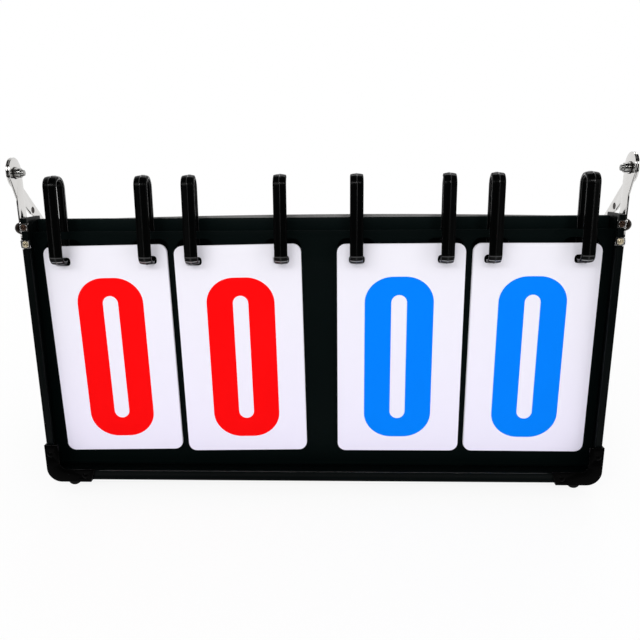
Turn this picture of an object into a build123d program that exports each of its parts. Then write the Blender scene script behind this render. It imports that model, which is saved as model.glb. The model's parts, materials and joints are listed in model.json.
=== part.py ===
from build123d import *
import os
from math import atan2, cos, radians, sin

# Tabletop flip scoreboard.  A shallow black case holds a slotted board with four decks of number
# cards, each hung on two closed hoops.  Chrome arms at the top corners hinge a plain stand to the
# case, so that the two halves stand on a table as an A and fold flat against each other.
# Millimetres: +X to the reader's right, +Y away from the reader, +Z up, the table at Z = 0.

# ---- Case ----
case_width = 385.0
case_height = 184.0
case_depth = 26.0
wall = 1.5
side_lip = 4.6
lip_return = 3.0
return_thickness = 1.0
bottom_face = 7.0
corner_radius = 8.8
edge_round = 0.5
sheet = 1.5
back_gap = 1.3
top_rail_height = 9.0
top_rail_drop = 2.1
top_round_share = 0.9

# ---- Board and its slots ----
board_front = 12.5
ledge_clearance = 0.3
slot_width = 24.6
slot_round = 6.0
slot_above_card = 3.6
board_above_slot = 5.1

# ---- Cards ----
side_margin = 8.9
pair_gap = 4.2
centre_gap = 22.8
card_top_gap = 18.7
card_foot_gap = 19.3
card_round = 5.5
card_thickness = 0.25
deck_thickness = 2.15
deck_gap = 0.3
hole_width = 10.3
hole_height = 5.2
hole_round = 1.2
hole_drop = 10.2
hole_edge = 12.9

# ---- Hoops ----
hoop_width = 8.6
hoop_rear_width = 5.0
hoop_flange = 1.8
hoop_rib = 2.0
hoop_rib_width = 2.8
hoop_wide_share = 0.4
hoop_narrow_share = 0.7
hoop_rise = 45.3
hoop_lean = 2.2
hoop_reach = 22.2
hoop_crown_radius = 9.4
hoop_heel_radius = 5.5
hole_clearance = 0.4

# ---- Arms and pivot ----
pivot_depth = 1.7
pivot_rise = 28.4
open_angle = 26.0
arm_sheet = 1.0
arm_clearance = 0.3
head_half_width = 7.7
head_half_height = 9.4
neck_drop = 3.0
neck_rise = 12.0
strip_drop = 20.0
ear_reach = 5.0
ear_height = 5.0
ear_rivet_inset = 3.0
ear_drops = (5.7, 16.5)
ear_shank_radius = 0.9
screw_depth = 2.2
screw_drop = 6.4
pin_radius = 1.9
pin_clearance = 0.06
pin_head_radius = 3.6
pin_head = 0.9
nut_radius = 2.9
nut_length = 3.2
tip_length = 1.8
spacer_radius = 3.7
spacer_length = 0.7
link_width = 9.0
link_top = (-2.0, -8.0)
link_end = (12.9, -45.7)
link_rivet_place = (6.6, -30.4)
knee_length = 64.0
arm_foot = 104.0
arm_bend = 9.0

# ---- Fasteners ----
shank_radius = 1.3
shank_clearance = 0.05
rivet_radius = 2.1
rivet_head = 0.8
screw_radius = 3.9
screw_head = 3.8
link_rivet_radius = 3.0
link_rivet_head = 0.9
link_shank_radius = 2.1
stand_rivet_places = (76.0, 94.0)

# ---- Stand ----
stand_depth = 12.0
fold_gap = 0.5
stand_top_drop = 58.0
stand_top_face = 7.0

# ---- Corner protectors and feet ----
guard = 1.2
guard_run = 34.0
guard_rise = 28.0
guard_inner_radius = 5.0
guard_band = 8.4
guard_slant = 3.2
guard_rivet_inset = 8.4
foot_radius = 4.8
foot_press = 0.35
foot_inset = 15.5
foot_edge = 5.2

# ---- Worked out from the sizes above ----
half_width = case_width / 2
inner_half = half_width - wall
strip_inner = half_width - arm_sheet
strip_back = pivot_depth + head_half_width
strip_end = case_height - strip_drop
ear_x = half_width - ear_rivet_inset
arm_inner = half_width + arm_clearance
arm_outer = arm_inner + arm_sheet
back_front = case_depth - back_gap - sheet
top_rail_top = case_height - top_rail_drop
top_rail_front = back_front - wall
pivot_height = case_height + pivot_rise
card_width = (case_width - 2 * side_margin - 2 * pair_gap - centre_gap) / 4
card_top = case_height - card_top_gap
card_length = card_top - card_foot_gap
inner_card_x = (centre_gap + card_width) / 2
outer_card_x = half_width - side_margin - card_width / 2
slot_top = card_top + slot_above_card
board_top = slot_top + board_above_slot
hoop_spacing = card_width - 2 * hole_edge
hoop_top = card_top + hoop_rise
card_face = board_front - deck_thickness - deck_gap - card_thickness
hole_centre = card_top - hole_drop
hoop_foot = hole_centre - hole_height / 2 + hole_clearance
hoop_front = card_face - (card_top - hoop_foot)
stand_front = case_depth + fold_gap - pivot_depth
stand_back = stand_front + stand_depth
stand_half = arm_inner
stand_end = -pivot_height
foot_depth = case_depth - foot_edge
stand_foot_depth = stand_front + stand_depth / 2

# The A stands on two rows of equal round feet, so the table runs along the line that joins their
# centres: that line gives the lean of the case, and the stand leans by the rest of the open angle.
foot_centre = -guard
stand_foot_run = pivot_height - foot_centre
opening = radians(open_angle)
foot_line_y = pivot_depth + stand_foot_run * sin(opening) + stand_foot_depth * cos(opening) - foot_depth
foot_line_z = pivot_height - stand_foot_run * cos(opening) + stand_foot_depth * sin(opening) - foot_centre
case_lean = atan2(foot_line_z, foot_line_y)
stand_lean = opening - case_lean
foot_height = foot_radius - foot_press
case_lift = foot_height - foot_centre * cos(case_lean) + foot_depth * sin(case_lean)
front_reach = guard * (cos(case_lean) + sin(case_lean))
pivot_y = pivot_depth * cos(case_lean) + pivot_height * sin(case_lean)
rear_reach = pivot_y + (stand_back + guard) * cos(stand_lean) + (pivot_height + guard) * sin(stand_lean)
case_shift = (front_reach - rear_reach) / 2

case_frame = Plane(
    origin=(0, case_shift, case_lift),
    x_dir=(1, 0, 0),
    z_dir=(0, sin(case_lean), cos(case_lean)),
)
stand_frame = Plane(
    origin=case_frame.from_local_coords((0, pivot_depth, pivot_height)),
    x_dir=(1, 0, 0),
    z_dir=(0, -sin(stand_lean), cos(stand_lean)),
)
card_positions = {
    "home_tens": -outer_card_x,
    "home_ones": -inner_card_x,
    "guest_tens": inner_card_x,
    "guest_ones": outer_card_x,
}
hoop_positions = [x + side * hoop_spacing / 2 for x in card_positions.values() for side in (-1, 1)]
hands = {"left": -1, "right": 1}

os.makedirs("parts", exist_ok=True)


def side_view(frame, x):
    """Plane across X: its first axis runs back and its second up the panel."""
    return Plane(frame.location * Plane.YZ.offset(x).location)


def front_view(frame, y):
    """Plane parallel to the panel at depth y: its first axis is X and its second runs up."""
    return Plane(frame.location * Plane.XZ.offset(-y).location)


def level_view(frame, z):
    """Plane square to the panel at height z: its first axis is X and its second runs back."""
    return Plane(frame.location * Plane.XY.offset(z).location)


def save(piece, name):
    """Label a finished piece and write it."""
    piece.label = name
    export_step(piece, f"parts/{name}.step")


def centre_of(pair):
    """Middle of a pair of values."""
    return sum(pair) / 2


def drill(view, places, depth, radius=shank_radius + shank_clearance):
    """Round plugs to cut away as holes, from a plane to a signed depth."""
    with BuildSketch(view) as holes:
        with Locations(*places):
            Circle(radius)
    return extrude(holes.sketch, amount=depth, mode=Mode.PRIVATE)


def guard_rivet_places(hand, half, end):
    """One rivet near each end of a guard's face."""
    low = (hand * (half - guard_run + guard_rivet_inset), end + bottom_face / 2)
    high = (hand * (half - side_lip / 2), end + guard_rise - guard_rivet_inset)
    return [low, high]


def button(head_radius, head_height, shank, radius=shank_radius):
    """A domed head on a shank that points down from Z = 0."""
    dome_radius = (head_radius**2 + head_height**2) / (2 * head_height)
    with BuildPart() as fastener:
        with Locations((0, 0, head_height - dome_radius)):
            Sphere(dome_radius)
        split(bisect_by=Plane.XY, keep=Keep.TOP)
        with BuildSketch(Plane.XY):
            Circle(radius)
        extrude(amount=-shank)
    return fastener.part


# ---- Side rails: wall, front lip and a small return, rebated for the hinge arm's strip ----
def make_side_rail(hand):
    outer = hand * half_width
    inner = hand * inner_half
    lip = hand * (half_width - side_lip)
    lip_back = hand * (half_width - side_lip + return_thickness)
    with BuildPart() as rail:
        with BuildSketch(level_view(case_frame, 0)):
            Polygon(
                (outer, 0),
                (outer, case_depth),
                (inner, case_depth),
                (inner, wall),
                (lip_back, wall),
                (lip_back, lip_return),
                (lip, lip_return),
                (lip, 0),
                align=None,
            )
        extrude(amount=case_height)
        long_edges = rail.edges().filter_by(lambda e: abs(e.length - case_height) < 0.01)
        fillet(long_edges.group_by(Axis.Y)[0], edge_round)
        with BuildSketch(front_view(case_frame, 0)):
            with Locations((0, case_height / 2 + corner_radius)):
                RectangleRounded(case_width, case_height + 2 * corner_radius, corner_radius)
        extrude(amount=-case_depth, mode=Mode.INTERSECT)
        with BuildSketch(side_view(case_frame, outer)):
            with Locations((strip_back / 2, centre_of((strip_end, case_height)))):
                Rectangle(strip_back, case_height - strip_end)
        extrude(amount=-hand * arm_sheet, mode=Mode.SUBTRACT)
        ear_holes = [(hand * ear_x, case_height - drop) for drop in ear_drops]
        ear_hole_radius = ear_shank_radius + shank_clearance
        add(drill(front_view(case_frame, 0), ear_holes, -wall, ear_hole_radius), mode=Mode.SUBTRACT)
        guard_hole = [guard_rivet_places(hand, half_width, 0)[1]]
        add(drill(front_view(case_frame, 0), guard_hole, -wall), mode=Mode.SUBTRACT)
        screw_hole = [(screw_depth, case_height - screw_drop)]
        add(drill(side_view(case_frame, outer), screw_hole, -hand * wall), mode=Mode.SUBTRACT)
    return rail.part


for hand_name, hand in hands.items():
    save(make_side_rail(hand), f"side_rail_{hand_name}")

# ---- Bottom rail: front face, floor and the ledge that runs back to the board ----
ledge = board_front - ledge_clearance
with BuildPart() as bottom_rail:
    with BuildSketch(side_view(case_frame, -(half_width - side_lip))):
        Polygon(
            (0, 0),
            (case_depth, 0),
            (case_depth, wall),
            (wall, wall),
            (wall, bottom_face - wall),
            (ledge, bottom_face - wall),
            (ledge, bottom_face),
            (0, bottom_face),
            align=None,
        )
    extrude(amount=case_width - 2 * side_lip)
    front_edges = bottom_rail.edges().filter_by(Axis.X).group_by(Axis.Y)[0]
    fillet(front_edges, edge_round)
    with BuildSketch(front_view(case_frame, 0)):
        with Locations((0, case_height / 2)):
            RectangleRounded(case_width, case_height, corner_radius)
    extrude(amount=-case_depth, mode=Mode.INTERSECT)
    low_holes = [guard_rivet_places(hand, half_width, 0)[0] for hand in hands.values()]
    add(drill(front_view(case_frame, 0), low_holes, -wall), mode=Mode.SUBTRACT)
save(bottom_rail.part, "bottom_rail")


def panel_outline(top, bottom):
    """A panel between the side walls, with its lower corners rounded like the case."""
    with Locations((0, centre_of((top, bottom)))):
        Rectangle(2 * inner_half, top - bottom)
    with Locations((0, bottom + case_height / 2)):
        RectangleRounded(2 * inner_half, case_height, corner_radius - wall, mode=Mode.INTERSECT)


# ---- Back panel and the cap folded over its upper edge ----
with BuildPart() as back_panel:
    with BuildSketch(front_view(case_frame, back_front)):
        panel_outline(top_rail_top - wall, wall)
    extrude(amount=-sheet)
save(back_panel.part, "back_panel")

with BuildPart() as top_rail:
    with BuildSketch(side_view(case_frame, -inner_half)):
        with BuildLine():
            Polyline(
                (top_rail_front, top_rail_top - top_rail_height),
                (top_rail_front, top_rail_top),
                (case_depth, top_rail_top),
                (case_depth, top_rail_top - top_rail_height),
                (back_front + sheet, top_rail_top - top_rail_height),
                (back_front + sheet, top_rail_top - wall),
                (back_front, top_rail_top - wall),
                (back_front, top_rail_top - top_rail_height),
                close=True,
            )
        make_face()
    extrude(amount=2 * inner_half)
    front_top_edge = top_rail.edges().filter_by(Axis.X).filter_by(
        lambda e: abs(case_frame.to_local_coords(e.center()).Z - top_rail_top) < 0.01
        and abs(case_frame.to_local_coords(e.center()).Y - top_rail_front) < 0.01
    )
    fillet(front_top_edge, top_round_share * wall)
save(top_rail.part, "top_rail")

# ---- Display board with one slot for each hoop ----
with BuildPart() as display_board:
    with BuildSketch(front_view(case_frame, board_front)):
        panel_outline(board_top, wall)
        with Locations(*[(x, centre_of((slot_top, hoop_foot))) for x in hoop_positions]):
            RectangleRounded(slot_width, slot_top - hoop_foot, slot_round, mode=Mode.SUBTRACT)
    extrude(amount=-sheet)
save(display_board.part, "display_board")


# ---- Card hoops: a closed loop of T section, wide in front and narrow behind ----
hoop_back = hoop_front + hoop_reach
hoop_heel = board_front + sheet + hoop_flange + hoop_rib
hoop_bend = card_top - hoop_foot


def hoop_outline(inset):
    """The hoop seen from the side, drawn in by an inset."""
    with BuildSketch() as outline:
        with BuildLine():
            FilletPolyline(
                (hoop_front, hoop_foot),
                (hoop_front + hoop_lean, hoop_top),
                (hoop_back, hoop_top),
                (hoop_heel, hoop_foot),
                radius=[hoop_bend, hoop_crown_radius, hoop_crown_radius, hoop_heel_radius],
                close=True,
            )
        make_face()
        if inset:
            offset(amount=-inset)
    return outline.sketch


def make_hoop(x):
    with BuildPart() as hoop:
        with BuildSketch(side_view(case_frame, x)):
            add(hoop_outline(0))
            add(hoop_outline(hoop_flange), mode=Mode.SUBTRACT)
        extrude(amount=hoop_width / 2, both=True)
        with BuildSketch(side_view(case_frame, x)):
            add(hoop_outline(hoop_flange))
            add(hoop_outline(hoop_flange + hoop_rib), mode=Mode.SUBTRACT)
        extrude(amount=hoop_rib_width / 2, both=True)
        with BuildSketch(level_view(case_frame, hoop_foot)):
            Polygon(
                (x - hoop_width / 2, hoop_front),
                (x + hoop_width / 2, hoop_front),
                (x + hoop_width / 2, hoop_front + hoop_reach * hoop_wide_share),
                (x + hoop_rear_width / 2, hoop_front + hoop_reach * hoop_narrow_share),
                (x + hoop_rear_width / 2, hoop_back),
                (x - hoop_rear_width / 2, hoop_back),
                (x - hoop_rear_width / 2, hoop_front + hoop_reach * hoop_narrow_share),
                (x - hoop_width / 2, hoop_front + hoop_reach * hoop_wide_share),
                align=None,
            )
        extrude(amount=hoop_top - hoop_foot, mode=Mode.INTERSECT)
    return hoop.part


for number, x in enumerate(hoop_positions, start=1):
    save(make_hoop(x), f"hoop_{number}")


# ---- Cards: a deck that leans on the board and the loose card that shows ----
def make_card(x, front, thickness):
    with BuildPart() as card:
        with BuildSketch(front_view(case_frame, front)):
            with Locations((x, card_top - card_length / 2)):
                RectangleRounded(card_width, card_length, card_round)
            with Locations(*[(x + side * hoop_spacing / 2, hole_centre) for side in (-1, 1)]):
                RectangleRounded(hole_width, hole_height, hole_round, mode=Mode.SUBTRACT)
        extrude(amount=-thickness)
    return card.part


for position, x in card_positions.items():
    save(make_card(x, board_front - deck_thickness, deck_thickness), f"card_pack_{position}")
    save(make_card(x, card_face, card_thickness), f"front_card_{position}")

# ---- Front arms: flat strips let into the rails, with an oval head and two ears ----
def make_front_arm(hand):
    inner = hand * strip_inner
    outer = hand * half_width
    with BuildPart() as arm:
        with BuildSketch(side_view(case_frame, inner)):
            Polygon(
                (0, strip_end),
                (strip_back, strip_end),
                (strip_back, pivot_height),
                (pivot_depth, pivot_height),
                (pivot_depth - head_half_width, pivot_height - neck_drop),
                (0, case_height + neck_rise),
                align=None,
            )
            with Locations((pivot_depth, pivot_height)):
                Ellipse(head_half_width, head_half_height)
                Circle(pin_radius + shank_clearance, mode=Mode.SUBTRACT)
        extrude(amount=hand * arm_sheet)
        with BuildSketch(*[level_view(case_frame, case_height - d - ear_height / 2) for d in ear_drops]):
            Polygon(
                (outer, edge_round),
                (outer, -arm_sheet),
                (inner - hand * ear_reach, -arm_sheet),
                (inner - hand * ear_reach, 0),
                (inner, 0),
                (inner, edge_round),
                align=None,
            )
        extrude(amount=ear_height)
        ear_holes = [(hand * ear_x, case_height - d) for d in ear_drops]
        ear_hole_radius = ear_shank_radius + shank_clearance
        ear_face = front_view(case_frame, -arm_sheet)
        add(drill(ear_face, ear_holes, -arm_sheet, ear_hole_radius), mode=Mode.SUBTRACT)
        screw_hole = [(screw_depth, case_height - screw_drop)]
        add(drill(side_view(case_frame, inner), screw_hole, hand * arm_sheet), mode=Mode.SUBTRACT)
    return arm.part


for hand_name, hand in hands.items():
    save(make_front_arm(hand), f"front_arm_{hand_name}")

# ---- Rear arms: plates outside the rails that carry the stand, hollowed to fold round the screw ----
arm_line = stand_foot_depth
folded_screw = (screw_depth - pivot_depth, case_height - screw_drop - pivot_height)


def make_rear_arm(hand):
    with BuildPart() as arm:
        with BuildSketch(side_view(stand_frame, hand * arm_inner)):
            with BuildLine():
                FilletPolyline(
                    link_top,
                    link_end,
                    (arm_line, -knee_length),
                    (arm_line, -arm_foot),
                    radius=arm_bend,
                )
            trace(line_width=link_width)
            Ellipse(head_half_width, head_half_height, rotation=-open_angle)
            with Locations((arm_line, -arm_foot)):
                Circle(link_width / 2)
            Circle(pin_radius + pin_clearance, mode=Mode.SUBTRACT)
            with Locations(folded_screw):
                Circle(screw_radius + arm_clearance, mode=Mode.SUBTRACT)
            with Locations(link_rivet_place):
                Circle(link_shank_radius + shank_clearance, mode=Mode.SUBTRACT)
            with Locations(*[(arm_line, -place) for place in stand_rivet_places]):
                Circle(shank_radius + shank_clearance, mode=Mode.SUBTRACT)
        extrude(amount=hand * arm_sheet)
    return arm.part


for hand_name, hand in hands.items():
    save(make_rear_arm(hand), f"rear_arm_{hand_name}")

# ---- Pivot pins: an outer head, a shank and a nut with its tip, on a washer inside the arm ----
nut_seat = strip_inner - spacer_length
nut_end = nut_seat - nut_length
pin_outside = arm_outer + arm_clearance


def make_pin(hand):
    with BuildPart() as pin:
        for x, radius, length in (
            (nut_end - tip_length, pin_radius, tip_length + pin_outside - nut_end),
            (nut_end, nut_radius, nut_length),
            (pin_outside, pin_head_radius, pin_head),
        ):
            with BuildSketch(side_view(case_frame, hand * x)):
                with Locations((pivot_depth, pivot_height)):
                    Circle(radius)
            extrude(amount=hand * length)
        rims = pin.edges().filter_by(GeomType.CIRCLE)
        fillet(rims.sort_by(Axis.X)[0 if hand < 0 else -1], pin_head / 2)
    return pin.part


def make_spacer(hand):
    with BuildPart() as spacer:
        with BuildSketch(side_view(case_frame, hand * nut_seat)):
            with Locations((pivot_depth, pivot_height)):
                Circle(spacer_radius)
                Circle(pin_radius + shank_clearance, mode=Mode.SUBTRACT)
        extrude(amount=hand * spacer_length)
    return spacer.part


for hand_name, hand in hands.items():
    save(make_pin(hand), f"pivot_pin_{hand_name}")
    save(make_spacer(hand), f"pivot_spacer_{hand_name}")


# ---- Stand: a thin panel in a frame of the same channels, open towards the case ----
stand_top = -stand_top_drop
panel_back = stand_back - lip_return


def stand_outline():
    """The stand's rounded outline."""
    with BuildSketch(front_view(stand_frame, stand_front)) as outline:
        with Locations((0, centre_of((stand_top, stand_end)))):
            RectangleRounded(2 * stand_half, stand_top - stand_end, corner_radius)
    return outline.sketch


def round_stand_corners():
    """Trim the rail in hand to the stand's rounded outline."""
    extrude(stand_outline(), amount=-stand_depth, mode=Mode.INTERSECT)


def make_stand_rail(hand):
    outer = hand * stand_half
    inner = hand * (stand_half - wall)
    lip = hand * (stand_half - side_lip)
    lip_back = hand * (stand_half - side_lip + return_thickness)
    with BuildPart() as rail:
        with BuildSketch(level_view(stand_frame, stand_end)):
            Polygon(
                (outer, stand_front),
                (outer, stand_back),
                (lip, stand_back),
                (lip, panel_back),
                (lip_back, panel_back),
                (lip_back, stand_back - wall),
                (inner, stand_back - wall),
                (inner, stand_front),
                align=None,
            )
        extrude(amount=stand_top - stand_end)
        round_stand_corners()
        places = [(arm_line, -place) for place in stand_rivet_places]
        add(drill(side_view(stand_frame, outer), places, -hand * wall), mode=Mode.SUBTRACT)
        high_hole = guard_rivet_places(hand, stand_half, stand_end)[1:]
        add(drill(front_view(stand_frame, stand_back), high_hole, wall), mode=Mode.SUBTRACT)
    return rail.part


def make_stand_cross(edge, inward):
    """Channel along the stand's lower or upper edge; inward is +1 or -1 up the panel."""
    with BuildPart() as rail:
        with BuildSketch(side_view(stand_frame, -(stand_half - side_lip))):
            Polygon(
                (stand_front, edge),
                (stand_back, edge),
                (stand_back, edge + inward * stand_top_face),
                (panel_back, edge + inward * stand_top_face),
                (panel_back, edge + inward * (stand_top_face - wall)),
                (stand_back - wall, edge + inward * (stand_top_face - wall)),
                (stand_back - wall, edge + inward * wall),
                (stand_front, edge + inward * wall),
                align=None,
            )
        extrude(amount=2 * (stand_half - side_lip))
        round_stand_corners()
        low_holes = [guard_rivet_places(hand, stand_half, stand_end)[0] for hand in hands.values()]
        add(drill(front_view(stand_frame, stand_back), low_holes, wall), mode=Mode.SUBTRACT)
    return rail.part


for hand_name, hand in hands.items():
    save(make_stand_rail(hand), f"stand_rail_{hand_name}")
save(make_stand_cross(stand_end, 1), "stand_bottom_rail")
save(make_stand_cross(stand_top, -1), "stand_top_rail")

with BuildPart() as stand_panel:
    with BuildSketch(front_view(stand_frame, panel_back - sheet)):
        with Locations((0, centre_of((stand_top, stand_end)))):
            RectangleRounded(2 * (stand_half - wall), stand_top - stand_end - 2 * wall, corner_radius - wall)
    extrude(amount=-sheet)
save(stand_panel.part, "stand_panel")


# ---- Corner protectors: pressed guards with a face, an edge and a floor ----
def make_guard(frame, hand, half, end, face, depth):
    """face is the covered face's depth; depth is signed, towards the inside of the A or the fold."""
    outward = -1 if depth > 0 else 1
    outer_x = hand * (half + guard)
    run_end = outer_x - hand * guard_run
    window_x = hand * (half - guard_band - guard_run / 2)
    reach = [
        (outer_x, end - guard),
        (run_end + hand * guard_slant, end - guard),
        (run_end, end + guard_band),
        (run_end, end - guard + guard_rise),
        (outer_x, end - guard + guard_rise),
    ]
    with BuildPart() as protector:
        with BuildSketch(front_view(frame, face)):
            with Locations((0, end + case_height / 2)):
                RectangleRounded(2 * (half + guard), case_height + 2 * guard, corner_radius + guard)
            Polygon(*reach, align=None, mode=Mode.INTERSECT)
            with Locations((window_x, end + guard_band + guard_rise / 2)):
                RectangleRounded(guard_run, guard_rise, guard_inner_radius, mode=Mode.SUBTRACT)
        extrude(amount=-outward * guard)
        with BuildSketch(front_view(frame, face)):
            with Locations((0, end + case_height / 2)):
                RectangleRounded(2 * (half + guard), case_height + 2 * guard, corner_radius + guard)
                RectangleRounded(2 * half, case_height, corner_radius, mode=Mode.SUBTRACT)
            Polygon(*reach, align=None, mode=Mode.INTERSECT)
        extrude(amount=-depth)
        places = guard_rivet_places(hand, half, end)
        add(drill(front_view(frame, face), places, -outward * guard), mode=Mode.SUBTRACT)
    return protector.part


for hand_name, hand in hands.items():
    save(make_guard(case_frame, hand, half_width, 0, 0, case_depth), f"corner_protector_{hand_name}")
    stand_guard = make_guard(stand_frame, hand, stand_half, stand_end, stand_back, -stand_depth)
    save(stand_guard, f"stand_corner_{hand_name}")


# ---- Fasteners, each kind as one group of separate solids ----
def on_front(frame, x, y, z):
    """Placed so that a head faces the reader."""
    return Location(Plane(origin=frame.from_local_coords((x, y, z)), x_dir=(1, 0, 0), z_dir=-frame.y_dir))


def on_back(frame, x, y, z):
    """Placed so that a head faces away from the reader."""
    return Location(Plane(origin=frame.from_local_coords((x, y, z)), x_dir=(1, 0, 0), z_dir=frame.y_dir))


def on_side(frame, x, y, z, hand):
    """Placed so that a head faces outwards along X for hand +1 on the right."""
    return Location(Plane(origin=frame.from_local_coords((x, y, z)), x_dir=(0, 1, 0), z_dir=(hand, 0, 0)))


with BuildPart() as ear_rivets:
    with Locations(
        *[
            on_front(case_frame, hand * ear_x, -arm_sheet, case_height - drop)
            for hand in hands.values()
            for drop in ear_drops
        ]
    ):
        add(button(rivet_radius, rivet_head, arm_sheet + wall, ear_shank_radius))
save(ear_rivets.part, "ear_rivets")

with BuildPart() as arm_screws:
    with Locations(
        *[
            on_side(
                case_frame,
                hand * half_width,
                screw_depth,
                case_height - screw_drop,
                hand,
            )
            for hand in hands.values()
        ]
    ):
        add(button(screw_radius, screw_head, wall))
save(arm_screws.part, "arm_screws")

with BuildPart() as link_rivets:
    with Locations(
        *[on_side(stand_frame, hand * arm_outer, *link_rivet_place, hand) for hand in hands.values()]
    ):
        add(button(link_rivet_radius, link_rivet_head, arm_sheet, link_shank_radius))
save(link_rivets.part, "link_rivets")

with BuildPart() as stand_arm_rivets:
    with Locations(
        *[
            on_side(stand_frame, hand * arm_outer, arm_line, -place, hand)
            for hand in hands.values()
            for place in stand_rivet_places
        ]
    ):
        add(button(rivet_radius, rivet_head, arm_sheet + wall))
save(stand_arm_rivets.part, "stand_arm_rivets")

with BuildPart() as corner_rivets:
    with Locations(
        *[
            on_front(case_frame, x, -guard, z)
            for hand in hands.values()
            for x, z in guard_rivet_places(hand, half_width, 0)
        ]
    ):
        add(button(rivet_radius, rivet_head, guard + wall))
save(corner_rivets.part, "corner_rivets")

with BuildPart() as stand_corner_rivets:
    with Locations(
        *[
            on_back(stand_frame, x, stand_back + guard, z)
            for hand in hands.values()
            for x, z in guard_rivet_places(hand, stand_half, stand_end)
        ]
    ):
        add(button(rivet_radius, rivet_head, guard + wall))
save(stand_corner_rivets.part, "stand_corner_rivets")


# ---- Round rubber feet, pressed a little flat where they stand on the table ----
def make_feet(frame, half, end, depths):
    under = Plane(frame.location * Plane.XY.offset(end - guard).location)
    with BuildPart() as feet:
        with Locations(
            *[
                Location(frame.from_local_coords((hand * (half - foot_inset), depth, end - guard)))
                for hand in hands.values()
                for depth in depths
            ]
        ):
            Sphere(foot_radius)
        split(bisect_by=under, keep=Keep.BOTTOM)
        split(bisect_by=Plane.XY, keep=Keep.TOP)
    return feet.part


save(make_feet(case_frame, half_width, 0, (foot_edge, foot_depth)), "case_feet")
save(make_feet(stand_frame, stand_half, stand_end, (stand_foot_depth,)), "stand_feet")
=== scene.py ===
# %% [markdown]
# A tabletop flip scoreboard, dressed for a studio picture.
#
# The construction is already there: every rail, hoop, card and arm comes in as a fixed frame, in
# metres, with +Z up and the reader on the -Y side. This lesson gives each of those pieces its
# finish, and rebuilds the ones whose edges, printing or stacked sheets need a finer mesh.

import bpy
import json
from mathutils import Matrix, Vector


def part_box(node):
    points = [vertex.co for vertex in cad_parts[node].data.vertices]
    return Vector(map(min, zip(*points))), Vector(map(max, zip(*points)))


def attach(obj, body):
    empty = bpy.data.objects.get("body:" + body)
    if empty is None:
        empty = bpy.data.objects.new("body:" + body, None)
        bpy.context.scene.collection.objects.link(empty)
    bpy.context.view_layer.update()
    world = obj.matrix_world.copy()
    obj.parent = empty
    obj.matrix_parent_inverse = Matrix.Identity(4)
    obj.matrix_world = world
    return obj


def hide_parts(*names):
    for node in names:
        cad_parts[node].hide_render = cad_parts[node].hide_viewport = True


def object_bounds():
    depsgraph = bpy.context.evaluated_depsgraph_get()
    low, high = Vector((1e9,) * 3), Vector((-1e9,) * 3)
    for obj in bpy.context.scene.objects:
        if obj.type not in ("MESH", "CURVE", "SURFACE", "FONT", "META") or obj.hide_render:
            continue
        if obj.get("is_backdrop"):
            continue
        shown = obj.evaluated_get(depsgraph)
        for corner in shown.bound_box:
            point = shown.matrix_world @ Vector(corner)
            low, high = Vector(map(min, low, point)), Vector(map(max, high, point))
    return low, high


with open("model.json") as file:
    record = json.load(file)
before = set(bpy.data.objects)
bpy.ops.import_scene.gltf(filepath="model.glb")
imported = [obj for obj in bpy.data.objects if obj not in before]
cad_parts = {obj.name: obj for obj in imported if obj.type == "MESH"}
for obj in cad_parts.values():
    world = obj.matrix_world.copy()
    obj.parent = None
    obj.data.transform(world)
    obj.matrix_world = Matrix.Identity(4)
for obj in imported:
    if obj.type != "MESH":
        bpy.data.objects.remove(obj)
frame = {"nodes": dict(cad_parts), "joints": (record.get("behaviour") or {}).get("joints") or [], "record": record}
CAD_BOX = [list(corner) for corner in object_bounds()]

# %% [markdown]
# ## Tools
#
# Blender counts in metres and a bench in millimetres. Lengths below are written in millimetres and
# one factor turns them into metres where a mesh is made. The frame's pieces are looked up by name.

# %% Tools used all through
import json
from math import atan2, cos, degrees, exp, hypot, pi, radians, sin, tan
from random import Random

import bmesh
import bpy
from mathutils import Matrix, Vector

MM = 0.001
nodes = frame["nodes"]
print("frame box in mm:", [[round(c / MM, 1) for c in corner] for corner in CAD_BOX])

# %% [markdown]
# ## Where the case leans
#
# The case leans back, so nothing on it is square to the table. The lean could be typed in as an
# angle, but it is safer to measure it: the largest triangle of a loose card lies in the card's
# face, so that triangle's normal tells how far the face is tipped. Each card turns about a hinge
# line along its top front edge, and the frame says where that line is.

# %% The hinges and the lean
CARD_NAMES = ["home_tens", "home_ones", "guest_tens", "guest_ones"]

hinges = {joint["name"]: Vector(joint["pos_m"]) for joint in frame["joints"]}
card_mesh = nodes["front_card_home_tens"].data
face_normal = max(card_mesh.polygons, key=lambda polygon: polygon.area).normal
LEAN = atan2(abs(face_normal.z), abs(face_normal.y))
print("the case leans back", round(degrees(LEAN), 2), "degrees")

# %% [markdown]
# ## The case's own axes
#
# A part that leans is awkward to build in upright axes: every height would need a sine and a
# cosine. So the script keeps a second set of axes that leans with the case, and writes each place
# as it would be measured on the bench: across, back from the front rim, and up from the foot. The
# top edge of a card is a known place in both sets, which ties the two together.

# %% Across, back and up
CARD_TOP = 165.3 * MM
CARD_FACE = 9.8 * MM

UP = Vector((0, sin(LEAN), cos(LEAN)))
BACK = Vector((0, cos(LEAN), -sin(LEAN)))
card_hinge = hinges["flip_home_tens"]
case_origin = Vector((0, card_hinge.y, card_hinge.z)) - UP * CARD_TOP - BACK * CARD_FACE
case_turn = Matrix((Vector((1, 0, 0)), BACK, UP)).transposed()
CASE = Matrix.Translation(case_origin) @ case_turn.to_4x4()


def on_case(x, back, up):
    """A place given in millimetres across, back from the front rim and up from the case's foot."""
    return CASE @ Vector((x * MM, back * MM, up * MM))


print("the case's foot is", round(case_origin.z / MM, 1), "mm above the table")

# %% [markdown]
# ## Camera
#
# The camera stands above the top edge and looks down on the sloping face, close enough for the
# case to narrow towards its foot. A focal length of about 35 mm on a 36 mm frame gives that
# strength of perspective. Its place is written in the case's own axes, because that is how the
# distance to the face was worked out, and its three turns are small corrections about them.

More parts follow.
